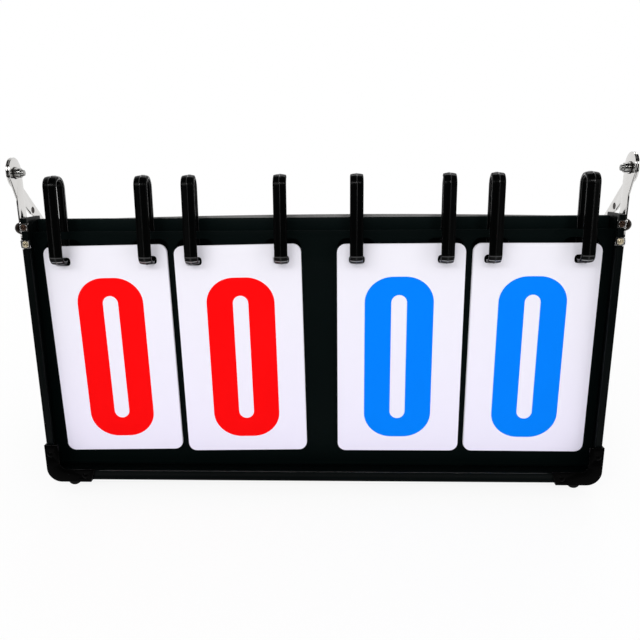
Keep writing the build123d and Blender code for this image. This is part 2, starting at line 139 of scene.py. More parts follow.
# %% Camera
PICTURE = 640
FOCAL_PIXELS = 618.2
SENSOR = 36.0
EYE = (13.49, -394.6, 213.84)
PAN = 0.03283
TILT_DOWN = 0.24126
ROLL = -0.00909
NEAREST = 0.01

camera_data = bpy.data.cameras.new("camera")
camera = bpy.data.objects.new("camera", camera_data)
bpy.context.scene.collection.objects.link(camera)
bpy.context.scene.camera = camera
camera_data.sensor_width = SENSOR
camera_data.lens = SENSOR * FOCAL_PIXELS / PICTURE
camera_data.clip_start = NEAREST
camera_data.dof.use_dof = False
aim = (
    Matrix.Rotation(PAN, 3, "Z")
    @ Matrix.Rotation(pi / 2 - TILT_DOWN, 3, "X")
    @ Matrix.Rotation(ROLL, 3, "Z")
)
camera.matrix_world = Matrix.Translation(on_case(*EYE)) @ (case_turn @ aim).to_4x4()
print("lens", round(camera_data.lens, 2), "mm")

# %% [markdown]
# ## Studio
#
# The object is nearly all black and white, so the light has to be even and the ground white. More
# light would burn out the white cards long before the ground is white. Instead the world and the
# floor show themselves as plain white only to rays that look straight at them, from the camera,
# from a mirror or through glass, and stay weaker as lamps. Light Path tells which ray is asking.

# %% Which rays look straight at the ground
def seen_directly(tree):
    """A value of 1 for camera, mirror and glass rays and 0 for the light that falls on things."""
    path = tree.nodes.new("ShaderNodeLightPath")
    first = tree.nodes.new("ShaderNodeMath")
    first.operation = "MAXIMUM"
    second = tree.nodes.new("ShaderNodeMath")
    second.operation = "MAXIMUM"
    tree.links.new(path.outputs["Is Camera Ray"], first.inputs[0])
    tree.links.new(path.outputs["Is Glossy Ray"], first.inputs[1])
    tree.links.new(first.outputs[0], second.inputs[0])
    tree.links.new(path.outputs["Is Transmission Ray"], second.inputs[1])
    return second.outputs[0]


print("white for camera, mirror and glass rays")

# %% [markdown]
# ## World
#
# A photographer's white tent lights an object from all sides. The world stands for the tent: as a
# lamp it has well under full strength, so that card stays below clipping. The Standard view
# transform is chosen because it keeps white as white and red and blue ink as they are mixed.

# %% A white tent
WORLD_LIGHT = 0.62

world = bpy.data.worlds.new("studio")
bpy.context.scene.world = world
world.use_nodes = True
sky = world.node_tree
background = sky.nodes["Background"]
background.inputs["Color"].default_value = (1, 1, 1, 1)
strength = sky.nodes.new("ShaderNodeMapRange")
strength.inputs["To Min"].default_value = WORLD_LIGHT
strength.inputs["To Max"].default_value = 1.0
sky.links.new(seen_directly(sky), strength.inputs["Value"])
sky.links.new(strength.outputs["Result"], background.inputs["Strength"])
bpy.context.scene.view_settings.view_transform = "Standard"
print("the world lights the object at", WORLD_LIGHT, "and looks white")

# %% [markdown]
# ## Floor
#
# A sheet of white paper lies under the object and takes its shadow. Near the feet the paper has to
# be a real surface, or the shadow would be lost; far away it has to be plain white, or its edge
# would show. So a diffuse paper and a plain glow are mixed, and the glow's share grows with the
# distance from the middle.

# %% A sheet of paper
FLOOR_HALF = 4.0
FLOOR_COLOUR = (0.95, 0.95, 0.95, 1)
FLOOR_ROUGH = 0.9
GLOW_NEAR = 0.88
GLOW_FAR = 1.0
FADE_START = 0.18
FADE_END = 0.55

floor_mesh = bpy.data.meshes.new("floor")
floor_corners = [(x * FLOOR_HALF, y * FLOOR_HALF, 0) for x, y in ((-1, -1), (1, -1), (1, 1), (-1, 1))]
floor_mesh.from_pydata(floor_corners, [], [(0, 1, 2, 3)])
floor = bpy.data.objects.new("floor", floor_mesh)
bpy.context.scene.collection.objects.link(floor)
floor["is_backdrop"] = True

floor_paint = bpy.data.materials.new("pale floor")
floor_paint.use_nodes = True
tree = floor_paint.node_tree
plain = tree.nodes["Principled BSDF"]
plain.inputs["Base Color"].default_value = FLOOR_COLOUR
plain.inputs["Roughness"].default_value = FLOOR_ROUGH
glow = tree.nodes.new("ShaderNodeEmission")
glow.inputs["Color"].default_value = (1, 1, 1, 1)
blend = tree.nodes.new("ShaderNodeMixShader")
floor_place = tree.nodes.new("ShaderNodeTexCoord")
from_middle = tree.nodes.new("ShaderNodeVectorMath")
from_middle.operation = "LENGTH"
fade = tree.nodes.new("ShaderNodeMapRange")
fade.interpolation_type = "SMOOTHSTEP"
fade.inputs["From Min"].default_value = FADE_START
fade.inputs["From Max"].default_value = FADE_END
fade.inputs["To Min"].default_value = GLOW_NEAR
fade.inputs["To Max"].default_value = GLOW_FAR
tree.links.new(floor_place.outputs["Object"], from_middle.inputs[0])
tree.links.new(from_middle.outputs["Value"], fade.inputs["Value"])
share = tree.nodes.new("ShaderNodeMath")
share.operation = "MULTIPLY"
tree.links.new(seen_directly(tree), share.inputs[0])
tree.links.new(fade.outputs["Result"], share.inputs[1])
tree.links.new(share.outputs[0], blend.inputs[0])
tree.links.new(plain.outputs[0], blend.inputs[1])
tree.links.new(glow.outputs[0], blend.inputs[2])
tree.links.new(blend.outputs[0], tree.nodes["Material Output"].inputs["Surface"])
floor_mesh.materials.append(floor_paint)
print("paper", 2 * FLOOR_HALF, "m wide")

# %% [markdown]
# ## Lamps
#
# Two large lamps give the shading, a long one behind draws the upper edges, and two small ones put
# a spark on the crown of each hoop. Area lamps are used because their size sets how soft a
# highlight is. Each one is simply placed, and turned to face the object.

# %% Lamps
LAMPS = {
    "key lamp": ((-0.9, -1.0, 1.3), (0, 0, 0.1), (0.8, 0.5), 5.5),
    "fill lamp": ((1.2, -0.8, 0.9), (0, 0, 0.1), (0.5, 0.9), 2.5),
    "rim lamp": ((0.2, 1.0, 1.1), (0, 0, 0.15), (1.2, 0.3), 5.0),
    "sparkle lamp left": ((-0.35, -1.0, 1.3), (0, 0, 0.15), (0.2, 0.2), 2.4),
    "sparkle lamp right": ((0.35, -1.0, 1.3), (0, 0, 0.15), (0.2, 0.2), 2.4),
}


def soft_lamp(name, place, target, size, watts):
    """A square lamp that faces a point."""
    lamp = bpy.data.objects.new(name, bpy.data.lights.new(name, "AREA"))
    lamp.data.shape = "RECTANGLE"
    lamp.data.size, lamp.data.size_y = size
    lamp.data.energy = watts
    lamp.location = place
    lamp.rotation_euler = (Vector(target) - Vector(place)).to_track_quat("-Z", "Y").to_euler()
    bpy.context.scene.collection.objects.link(lamp)
    return lamp


for name, (place, target, size, watts) in LAMPS.items():
    soft_lamp(name, place, target, size, watts)
print("lamps:", len(LAMPS))

# %% [markdown]
# ## Black flags
#
# Gloss only shows what stands round it, and in a white tent glossy black looks grey. A
# photographer hangs black cloth, called flags, where the camera would see the tent mirrored: every
# glossy face that looks that way stays deep black, and the chrome gets its dark outlines. These
# flags are hidden from the camera and cast no shadow, so they change nothing but the mirror image.

# %% Flags
FLAG_BLACK = (0.01, 0.01, 0.01, 1)

flag_paint = bpy.data.materials.new("black flag")
flag_paint.use_nodes = True
flag_surface = flag_paint.node_tree.nodes["Principled BSDF"]
flag_surface.inputs["Base Color"].default_value = FLAG_BLACK
flag_surface.inputs["Roughness"].default_value = 1.0


def flag(name, centre, half_x, half_z, tip=0.0, turn=0.0):
    """A black sheet that only glossy faces see, upright unless it is tipped back or turned."""
    mesh = bpy.data.meshes.new(name)
    corners = [(-half_x, 0, -half_z), (half_x, 0, -half_z), (half_x, 0, half_z), (-half_x, 0, half_z)]
    mesh.from_pydata(corners, [], [(0, 1, 2, 3)])
    mesh.materials.append(flag_paint)
    sheet = bpy.data.objects.new(name, mesh)
    sheet.location = centre
    sheet.rotation_euler = (tip, 0, turn)
    bpy.context.scene.collection.objects.link(sheet)
    sheet.visible_camera = False
    sheet.visible_diffuse = False
    sheet.visible_shadow = False
    sheet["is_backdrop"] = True
    return sheet


flag("black_wall", (0.0, -1.6, 0.9), 1.5, 0.9)
flag("black_ceiling", (0.0, -0.2, 1.8), 1.5, 1.4, tip=pi / 2)
for hand, x in (("left", -1.5), ("right", 1.5)):
    flag("black_wing_" + hand, (x, -0.9, 0.9), 0.7, 0.9, turn=pi / 2)
print("black flags hung")

# %% [markdown]
# ## Bounce cards
#
# Against all that black, the edges of the hoops would vanish. Slim white cards stand in front of
# the wall on both sides, in three bands, and each band is mirrored as one thin bright line.

# %% Bounce cards
BOUNCE_ACROSS = 1.0
BOUNCE_Y = -1.5
BOUNCE_HALF = 0.16
BOUNCE_BANDS = ((0.30, 0.60), (0.66, 0.71), (0.76, 0.84))

bounce_paint = bpy.data.materials.new("white bounce card")
bounce_paint.use_nodes = True
bounce_glow = bounce_paint.node_tree.nodes.new("ShaderNodeEmission")
bounce_glow.inputs["Color"].default_value = (1, 1, 1, 1)
bounce_paint.node_tree.links.new(
    bounce_glow.outputs[0], bounce_paint.node_tree.nodes["Material Output"].inputs["Surface"])

for hand, side in (("left", -1), ("right", 1)):
    for level, (low, high) in enumerate(BOUNCE_BANDS):
        middle = (side * BOUNCE_ACROSS, BOUNCE_Y, (low + high) / 2)
        card = flag(f"bounce_{hand}_{level}", middle, BOUNCE_HALF, (high - low) / 2)
        card.data.materials[0] = bounce_paint
print("bounce cards:", 2 * len(BOUNCE_BANDS))

# %% [markdown]
# ## Finishes
#
# Every finish is made from noise in the piece's own space, so it needs no picture and no unwrapping.
# One helper builds the common part: a base colour and a gloss that drift together between two
# tones, because paint that is thin in a place is also duller there, and a fine bump over it.

# %% A helper for finishes
def finish(name, tone_a, tone_b, rough, bump, grain, drift=18.0, metallic=0.0, specular=0.5):
    """A material that varies: rough is its (least, most) and bump its (strength, height in metres)."""
    paint = bpy.data.materials.new(name)
    paint.use_nodes = True
    nodes_in, links = paint.node_tree.nodes, paint.node_tree.links
    surface = nodes_in["Principled BSDF"]
    surface.inputs["Metallic"].default_value = metallic
    surface.inputs["Specular IOR Level"].default_value = specular
    place = nodes_in.new("ShaderNodeTexCoord")
    clouds = nodes_in.new("ShaderNodeTexNoise")
    clouds.inputs["Scale"].default_value = drift
    clouds.inputs["Detail"].default_value = 4.0
    links.new(place.outputs["Object"], clouds.inputs["Vector"])
    tones = nodes_in.new("ShaderNodeMix")
    tones.data_type = "RGBA"
    tones.inputs["A"].default_value = (*tone_a, 1)
    tones.inputs["B"].default_value = (*tone_b, 1)
    links.new(clouds.outputs["Fac"], tones.inputs["Factor"])
    links.new(tones.outputs["Result"], surface.inputs["Base Color"])
    fine = nodes_in.new("ShaderNodeTexNoise")
    fine.inputs["Scale"].default_value = grain
    fine.inputs["Detail"].default_value = 3.0
    links.new(place.outputs["Object"], fine.inputs["Vector"])
    gloss = nodes_in.new("ShaderNodeMapRange")
    gloss.inputs["To Min"].default_value = rough[0]
    gloss.inputs["To Max"].default_value = rough[1]
    links.new(clouds.outputs["Fac"], gloss.inputs["Value"])
    links.new(gloss.outputs["Result"], surface.inputs["Roughness"])
    relief = nodes_in.new("ShaderNodeBump")
    relief.inputs["Strength"].default_value = bump[0]
    relief.inputs["Distance"].default_value = bump[1]
    links.new(fine.outputs["Fac"], relief.inputs["Height"])
    links.new(relief.outputs["Normal"], surface.inputs["Normal"])
    return paint


print("finish helper ready")

# %% [markdown]
# ## Painted light that changes with height
#
# Some pieces are painted darker, or in another cast, part of the way up, as painted shade and light. Mixing the
# finished colour with another tone by height does that without a second material. The height is read in the
# piece's own space, so the tone stays with a card when the card is flipped.

# %% Tint by height
def paint_light_by_height(paint, start, end, tone):
    """Let a material's colour pass into a tone between two heights, in metres above the table."""
    nodes_in, links = paint.node_tree.nodes, paint.node_tree.links
    colour = nodes_in["Principled BSDF"].inputs["Base Color"]
    place = nodes_in.new("ShaderNodeTexCoord")
    height = nodes_in.new("ShaderNodeSeparateXYZ")
    links.new(place.outputs["Object"], height.inputs["Vector"])
    share = nodes_in.new("ShaderNodeMapRange")
    share.inputs["From Min"].default_value = start
    share.inputs["From Max"].default_value = end
    links.new(height.outputs["Z"], share.inputs["Value"])
    tinted = nodes_in.new("ShaderNodeMix")
    tinted.data_type = "RGBA"
    tinted.inputs["B"].default_value = (*tone, 1)
    links.new(colour.links[0].from_socket, tinted.inputs["A"])
    links.new(share.outputs["Result"], tinted.inputs["Factor"])
    links.new(tinted.outputs["Result"], colour)


print("height helper ready")

# %% [markdown]
# ## Black finishes
#
# All the black parts differ a little. The rails are enamelled sheet with a faint green cast, the
# board is flatter, the guards and hoops are moulded and shine more, and the feet are dull rubber.
# All of these have a low specular level: a white room would otherwise lift every one of them to
# grey. Only the dark rivets are bare metal, and metal takes its darkness from its own colour.

# %% Enamel, moulding and rubber
frame_black = finish("frame_black", (0.0007, 0.0014, 0.0014), (0.0018, 0.0030, 0.0030), (0.26, 0.38),
                     (0.18, 0.0002), 900, specular=0.035)
board_black = finish("board_black", (0.0010, 0.0028, 0.0028), (0.0018, 0.0044, 0.0042), (0.45, 0.6),
                     (0.25, 0.0002), 1400, specular=0.03)
# The top rail is the same enamel painted lighter: painted light on its recessed face, which the lamps reach
# little.
rail_painted_light = finish("rail_painted_light", (0.0022, 0.0052, 0.0052), (0.0042, 0.0085, 0.0082), (0.4, 0.5),
                    (0.2, 0.0002), 900, specular=0.04)
guard_black = finish("guard_black", (0.0004, 0.0004, 0.0004), (0.0010, 0.0010, 0.0010), (0.2, 0.3),
                     (0.12, 0.0002), 500, specular=0.022)
hoop_black = finish("hoop_black", (0.0005, 0.0006, 0.0006), (0.0012, 0.0014, 0.0014), (0.16, 0.26),
                    (0.08, 0.0002), 260, specular=0.06)
foot_black = finish("foot_rubber", (0.002, 0.002, 0.002), (0.005, 0.005, 0.005), (0.6, 0.8),
                    (0.4, 0.0002), 700, specular=0.06)
dark_steel = finish("dark_rivet", (0.005, 0.004, 0.0035), (0.034, 0.023, 0.018), (0.25, 0.45),
                    (0.3, 0.0002), 400, metallic=1.0)
print("black finishes done")

# %% [markdown]
# ## Painted light on the black, and where it is worn
#
# Handling polishes the edges of moulded plastic and takes enamel off sheet. The sides of a hoop are painted pale,
# as painted light on their lit faces, and two bands across its foot are painted bright, as painted reflections.
# The rounded edges of the black parts are painted lighter and glossier, painted edge highlights over rubbed paint,
# and pale grey strips are painted along the top and along the bottom rail as highlights. These need finishes of
# their own, given later to single faces or to thin strips.

# %% Painted highlights and worn blacks
# The sides of the hoops are painted pale: painted light on their lit faces.
hoop_side_lit = finish("hoop_side_lit", (0.055, 0.055, 0.056), (0.11, 0.11, 0.112), (0.1, 0.18),
                   (0.05, 0.0002), 260, specular=1.0)
hoop_seam = finish("hoop_seam", (0.0008, 0.0010, 0.0010), (0.002, 0.0022, 0.0022), (0.1, 0.16),
                   (0.05, 0.0002), 260, specular=0.4)
# Two bands across the foot's bend are painted bright and dim: painted reflections.
hoop_bright_band = finish("hoop_bright_band", (0.10, 0.10, 0.105), (0.26, 0.26, 0.27), (0.1, 0.2),
                       (0.05, 0.0002), 600, specular=0.8)
hoop_dim_band = finish("hoop_dim_band", (0.012, 0.012, 0.012), (0.03, 0.03, 0.031), (0.2, 0.3),
                   (0.05, 0.0002), 600, specular=0.4)
# A pale grey for the strips that draw light lines along the top and the bottom rail: painted highlight.
highlight_grey = finish("highlight_grey", (0.17, 0.17, 0.168), (0.25, 0.25, 0.245), (0.4, 0.55),
                   (0.2, 0.0002), 900, drift=40.0)
# Rounded edges of the black parts are painted lighter and glossier: painted edge highlights over rubbed paint.
rubbed_lit_black = finish("rubbed_lit_black", (0.002, 0.003, 0.003), (0.010, 0.012, 0.012), (0.16, 0.28),
                      (0.1, 0.0002), 700, specular=0.5)
rubbed_lit_guard = finish("rubbed_lit_guard", (0.0008, 0.0008, 0.0008), (0.004, 0.004, 0.004), (0.16, 0.26),
                      (0.1, 0.0002), 700, specular=0.25)
print("worn finishes done")

# %% [markdown]
# ## Bright finishes
#
# The arms are nickel-plated strip, so they are nearly a mirror; their edges, where the strip was sheared, are
# painted dark, a painted dark reflection. The pins are turned steel, their colour swinging in patches between
# black and bright: painted glints and dark reflections. The ear rivets are brass flecked dark and bright, as
# painted glints; the lower ones are clean, and the upper ones, which sit back in the crook of the arm, are painted
# a dim brown as painted shade.

# %% Plated strip, steel and brass
# The upper ear rivets are painted a dim brown: painted shade.
SHADE_BROWN = (0.05, 0.03, 0.022)
LIT_BELOW = 0.1759
SHADED_ABOVE = 0.1761

# The bevelled edges of the arms are painted dark: a painted dark reflection.
chrome_dark_edge = finish("chrome_edge_painted_dark", (0.003, 0.003, 0.003), (0.12, 0.11, 0.10), (0.3, 0.45),
                 (0.2, 0.0002), 500, drift=110.0, metallic=1.0)
# The pins' black and bright patches are painted glints and dark reflections.
pin_steel = finish("pin_steel", (0.002, 0.002, 0.002), (0.60, 0.60, 0.58), (0.1, 0.3),
                   (0.1, 0.0002), 500, drift=260.0, metallic=1.0)
brass = finish("brass_rivet", (0.02, 0.012, 0.006), (0.95, 0.82, 0.56), (0.12, 0.3),
               (0.9, 0.0006), 900, drift=520.0, metallic=1.0)
paint_light_by_height(brass, LIT_BELOW, SHADED_ABOVE, SHADE_BROWN)
chrome = finish("chrome_arm", (0.60, 0.59, 0.57), (0.74, 0.73, 0.72), (0.05, 0.16),
                (0.06, 0.0002), 240, metallic=1.0)
print("bright finishes done")

# %% [markdown]
# ## Card and ink
#
# The cards are stiff plastic-coated board, very slightly lilac. Towards the foot, where they lean over the dark
# rail, they are painted more lilac: a painted colour cast of the light there. The ink is flat and even: it has
# almost no gloss.

# %% Card and ink
# The lilac cast towards the card's foot is painted light.
FOOT_LIGHT_CAST = (0.864, 0.825, 0.986)
CAST_FROM = 0.165
CAST_TO = 0.02

card_white = finish("card_stock", (0.86, 0.845, 0.915), (0.90, 0.885, 0.955), (0.38, 0.5),
                    (0.12, 0.0001), 2200, drift=9.0, specular=0.3)
# The leaves behind are the same board, painted a little greyer than the loose cards: painted shade.
deck_shaded_white = finish("deck_stock", (0.80, 0.79, 0.84), (0.88, 0.87, 0.92), (0.5, 0.6),
                    (0.15, 0.0001), 1800, drift=9.0, specular=0.3)
paint_light_by_height(card_white, CAST_FROM, CAST_TO, FOOT_LIGHT_CAST)
red_ink = finish("red_ink", (0.94, 0.001, 0.002), (0.99, 0.003, 0.004), (0.4, 0.5),
                 (0.08, 0.0001), 1800, specular=0.03)
blue_ink = finish("blue_ink", (0.0, 0.205, 0.94), (0.0, 0.225, 0.99), (0.4, 0.5),
                  (0.08, 0.0001), 1800, specular=0.03)
print("finishes:", len(bpy.data.materials))

# %% [markdown]
# ## Two helpers for pieces
#
# Every piece needs the same few steps: its finish goes first in its list of materials, and it rides on a body so
# that it moves with it. Clearing the list would also reset which face has which finish, so those numbers are kept
# and put back.

# %% Dress a piece, show a piece
def dress(piece, material):
    """Make one material the first, and so far the only, finish of a piece."""
    kept = [polygon.material_index for polygon in piece.data.polygons] if piece.type == "MESH" else []
    piece.data.materials.clear()
    piece.data.materials.append(material)
    if kept:
        piece.data.polygons.foreach_set("material_index", kept)
    return piece


def show(name, mesh, material, body):
    """Put a finished mesh in the scene as a piece that rides on a body."""
    piece = bpy.data.objects.new(name, mesh)
    bpy.context.scene.collection.objects.link(piece)
    dress(piece, material)
    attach(piece, body)
    return piece


print("piece helpers ready")

# %% [markdown]
# ## Finishes on the frame's own pieces
#
# Each piece of the frame already names the stuff it is made of, so one table gives nearly all of
# them their finish. A few differ from the rest of their stuff and are named one by one. Pieces
# whose shape is already right, such as the rivets, the screws and the feet, need nothing more.

# %% Dress the frame
FINISH_OF = {
    "frame_black": frame_black,
    "board_black": board_black,
    "guard_black": guard_black,
    "dark_rivet": dark_steel,
    "foot_rubber": foot_black,
    "hoop_plastic": hoop_black,
    "deck_stock": deck_shaded_white,
    "card_stock": card_white,
    "chrome_arm": chrome,
}
slot_of = {part["node"]: part["material_slot"] for part in frame["record"]["subparts"]}
body_of = {name: body for body, names in frame["record"]["behaviour"]["bodies"].items() for name in names}
OWN_FINISH = {
    # the top rail is painted lighter, as painted light
    "top_rail": rail_painted_light,
    "pivot_pin_left": pin_steel,
    "pivot_pin_right": pin_steel,
    "ear_rivets": brass,
    "corner_rivets": guard_black,
}


def finish_for(name):
    """A piece's own finish, or that of its material slot."""
    return OWN_FINISH.get(name, FINISH_OF[slot_of[name]])


for name, node in nodes.items():
    dress(node, finish_for(name))
print("dressed", len(nodes), "pieces")

# %% [markdown]
# ## Rounded edges
#
# Pressed sheet and moulded plastic never have knife edges: the small radius on each edge is what catches a line of
# light and makes black parts readable. The frame's pieces have sharp edges, so each rigid piece is copied, its
# flat triangles are merged into whole faces, and a bevel of a few tenths of a millimetre is cut on every sharp
# edge. The bevel's own faces take a second finish. On the black parts it is lighter and glossier, rubbed paint and
# a painted edge highlight; on the arms it is dark, a painted dark reflection where the sheared sheet shows its
# steel. The copy then stands for the original. Rivets and screws are left as they are.

# %% Soften the rigid pieces
EDGE_FINISH = {
    "frame_black": rubbed_lit_black,
    "board_black": rubbed_lit_black,
    "guard_black": rubbed_lit_guard,
    "chrome_arm": chrome_dark_edge,
}
PLAIN_EDGED = ("display_board", "pivot_pin_left", "pivot_pin_right")
EDGE_RADIUS = {
    "frame_black": 0.35,
    "board_black": 0.3,
    "guard_black": 0.4,
    "chrome_arm": 0.36,
}
SAME_POINT = 0.002
SAME_PLANE = 1.0
SHARP_EDGE = 28.0
SMOOTH_BELOW = 32.0
BEVEL_STEPS = 2


def soften(name, width):
    """Stand in for a frame piece with a copy whose rounded edges carry the finish of a rubbed edge."""
    shape = bmesh.new()
    shape.from_mesh(nodes[name].data)
    bmesh.ops.remove_doubles(shape, verts=shape.verts, dist=SAME_POINT * MM)
    bmesh.ops.dissolve_limit(shape, angle_limit=radians(SAME_PLANE), verts=shape.verts, edges=shape.edges)
    bmesh.ops.recalc_face_normals(shape, faces=shape.faces)
    joined = [edge for edge in shape.edges if len(edge.link_faces) == 2]
    edges = [edge for edge in joined if edge.calc_face_angle(0) > radians(SHARP_EDGE)]
    bmesh.ops.bevel(shape, geom=edges, offset=width * MM, segments=BEVEL_STEPS, profile=0.5,
                    affect="EDGES", clamp_overlap=True, material=1)
    bmesh.ops.triangulate(shape, faces=[face for face in shape.faces if len(face.verts) > 4])
    mesh = bpy.data.meshes.new(name + "_soft")
    shape.to_mesh(mesh)
    shape.free()
    piece = bpy.data.objects.new(name + "_soft", mesh)
    bpy.context.scene.collection.objects.link(piece)
    dress(piece, finish_for(name))
    mesh.materials.append(finish_for(name) if name in PLAIN_EDGED else EDGE_FINISH[slot_of[name]])
    mesh.shade_smooth()
    mesh.set_sharp_from_angle(angle=radians(SMOOTH_BELOW))
    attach(piece, body_of[name])
    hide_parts(name)
    return piece


softened = []
for name in sorted(nodes):
    radius = EDGE_RADIUS.get(slot_of[name])
    if radius and "rivets" not in name and "screws" not in name:
        softened.append(soften(name, radius))
print("softened", len(softened), "pieces")

# %% [markdown]
# ## Outlines with round corners
#
# The hoops, the cards and their holes are all outlines with rounded corners. An arc fits into a
# corner when it touches both sides: its centre lies on the line that halves the angle, and half
# the angle tells how far along. One helper does that for any outline and any radius, and a second
# one cuts the straight runs between the corners into shorter ones.

# %% Rounded outlines
def round_corners(corners, radii, steps):
    """A closed outline through the corners, each of them rounded off."""
    loop = []
    for place, (corner, radius) in enumerate(zip(corners, radii)):
        if not radius:
            loop.append(tuple(corner))
            continue
        here = Vector(corner)
        to_last = (Vector(corners[place - 1]) - here).normalized()
        to_next = (Vector(corners[(place + 1) % len(corners)]) - here).normalized()
        half = to_last.angle(to_next) / 2
        centre = here + (to_last + to_next).normalized() * radius / sin(half)
        first = here + to_last * radius / tan(half) - centre
        last = here + to_next * radius / tan(half) - centre
        start = atan2(first.y, first.x)
        turn = (atan2(last.y, last.x) - start + pi) % (2 * pi) - pi
        for step in range(steps + 1):
            angle = start + turn * step / steps
            loop.append((centre.x + radius * cos(angle), centre.y + radius * sin(angle)))
    return loop


def divide(loop, longest):
    """The same closed outline with no run longer than a limit."""
    points = []
    for here, there in zip(loop, loop[1:] + loop[:1]):
        pieces = max(1, round(hypot(there[0] - here[0], there[1] - here[1]) / longest))
        for step in range(pieces):
            share = step / pieces
            points.append((here[0] + (there[0] - here[0]) * share, here[1] + (there[1] - here[1]) * share))
    return points


print("outline helpers ready")

# %% [markdown]
# ## The path of a hoop
#
# A card hoop is moulded plastic: a flat band bent into a closed loop, seen from the side as a tall
# ring whose front leans back a little. It has two tight bends at its foot and two easier ones at
# its crown, so four corners and four radii describe it. The straight runs are cut into short ones,
# because the band's width changes along them.

# %% The hoop's path
HOOP_FOOT = 152.9
HOOP_TOP = 210.6
HOOP_FRONT = -2.6
HOOP_LEAN = 2.2
HOOP_BACK = 19.6
HOOP_HEEL = 17.8
HOOP_RADII = (6.5, 7.6, 8.0, 5.5)
LONGEST_RUN = 2.0

side_corners = [
    (HOOP_FRONT, HOOP_FOOT),
    (HOOP_FRONT + HOOP_LEAN, HOOP_TOP),
    (HOOP_BACK, HOOP_TOP),
    (HOOP_HEEL, HOOP_FOOT),
]
hoop_path = divide(round_corners(side_corners, HOOP_RADII, steps=12), LONGEST_RUN)
print("hoop path:", len(hoop_path), "places")

# %% [markdown]
# ## The section of a hoop
#
# A rib runs along the inside of the band to stiffen it, so a cut through the hoop is a letter T.
# The band is broad in front, where it shows, and narrow behind, where it passes through the slot
# of the board. Its face is slightly arched, with the fine seam that a mould in two halves leaves.
# No edge is sharp. One function gives this T for any width of band.

# %% The hoop's section
BAND = 2.6
BAND_HALF = 4.3
BAND_HALF_REAR = 2.5
RIB = 1.2
RIB_HALF = 1.4
RIB_REAR = 1.7
RIB_HALF_REAR = 1.9
WIDE_SHARE = 0.4
NARROW_SHARE = 0.7
ARCH = 0.6
SEAM = 0.26
SEAM_HALF = 0.3
FACE_SHARES = (0.46, 0.62, 0.78, 0.93)
SEAM_SHARES = (0.35, 0.8, 1.3, 2.0)
BAND_EDGE = 0.5
EDGE_ROUND = 0.35
ROOT_ROUND = 0.2
RIB_ROUND = 0.6


def band_half(back):
    """Half the band's width at a depth: broad in front, then tapering, then narrow."""
    share = (back - HOOP_FRONT) / (HOOP_BACK - HOOP_FRONT)
    slope = min(1, max(0, (share - WIDE_SHARE) / (NARROW_SHARE - WIDE_SHARE)))
    return BAND_HALF + (BAND_HALF_REAR - BAND_HALF) * slope


def tee(half):
    """The rounded T: an arched face with a fine seam along it, and the rib behind."""
    rear = (BAND_HALF - half) / (BAND_HALF - BAND_HALF_REAR)
    depth = BAND + RIB + (RIB_REAR - RIB) * rear
    rib_half = RIB_HALF + (RIB_HALF_REAR - RIB_HALF) * rear
    right = [share * SEAM_HALF for share in SEAM_SHARES] + [share * half for share in FACE_SHARES]
    face = []
    for across in [-place for place in reversed(right)] + right:
        seam = SEAM * exp(-((across / SEAM_HALF) ** 2))
        face.append((across, SEAM + ARCH * (across / half) ** 2 - seam))
    rest = [(half, BAND - BAND_EDGE), (half, BAND), (rib_half, BAND), (rib_half, depth)]
    rest += [(-across, deep) for across, deep in reversed(rest)]
    bends = [0.0, EDGE_ROUND, ROOT_ROUND, RIB_ROUND]
    return round_corners(face + rest, [0.0] * len(face) + bends + bends[::-1], steps=3)


print("hoop section:", len(tee(BAND_HALF)), "points")

# %% [markdown]
# ## Which faces of a hoop carry painted light
#
# A hoop isn't one colour all over. Its two sides, the edges of the band, are painted pale as their lit faces; the
# seam shines more than the face; and two bands across the bend of the foot are painted bright and dim, standing in
# for the reflections there. Each is a strip of faces with a finish of its own: a shader would have to find them by
# place, but here the loop that makes the faces already knows where it is.

# %% Choose a finish for each face
PLAIN, SIDE, SEAM_LINE, BRIGHT_BAND, DIM_BAND = range(5)
HOOP_FINISHES = (hoop_side_lit, hoop_seam, hoop_bright_band, hoop_dim_band)
SIDE_FROM = 0.95
SEAM_REACH = 1.4
# the painted bands across the foot's bend: from and to angle, reach across, finish
PAINTED_BANDS = ((2, 10, 0.9, DIM_BAND), (34, 46, 0.82, BRIGHT_BAND))


def painted_band_at(here):
    """The painted bright band a place on the foot's bend belongs to: its reach and material, or None."""
    below = HOOP_FOOT + HOOP_RADII[0] - here[1]
    ahead = HOOP_FRONT + HOOP_RADII[0] - here[0]
    if ahead <= 0 or below < 0:
        return None
    turn = degrees(atan2(below, ahead))
    return next(((reach, slot) for start, end, reach, slot in PAINTED_BANDS if start <= turn <= end), None)


def face_finish(here, there, one, other, half):
    """The finish of the face between two places on the path and two points of the section."""
    near, far = sorted((abs(one[0]), abs(other[0])))
    front = one[1] < BAND / 2
    lit_band = painted_band_at([(p + q) / 2 for p, q in zip(here, there)])
    if front and lit_band and near < lit_band[0] * half:
        return lit_band[1]
    if near > SIDE_FROM * half:
        return SIDE
    return SEAM_LINE if front and far < SEAM_REACH * SEAM_HALF else PLAIN


print("a hoop has", 1 + len(HOOP_FINISHES), "finishes")

# %% [markdown]
# ## Sweeping a hoop
#
# At each place on the path the section is set square to it, on the inner side, and neighbouring
# sections are joined by faces; the last joins the first, so the ring is closed and has no ends.
# This gives one clean mesh for the whole hoop, which a bevel on the frame's faceted loop wouldn't.

# %% Sweep the section round the path
def tidy_faces(mesh):
    """Turn every face of a closed mesh outwards."""
    shape = bmesh.new()
    shape.from_mesh(mesh)
    bmesh.ops.recalc_face_normals(shape, faces=shape.faces)
    shape.to_mesh(mesh)
    shape.free()
    return mesh


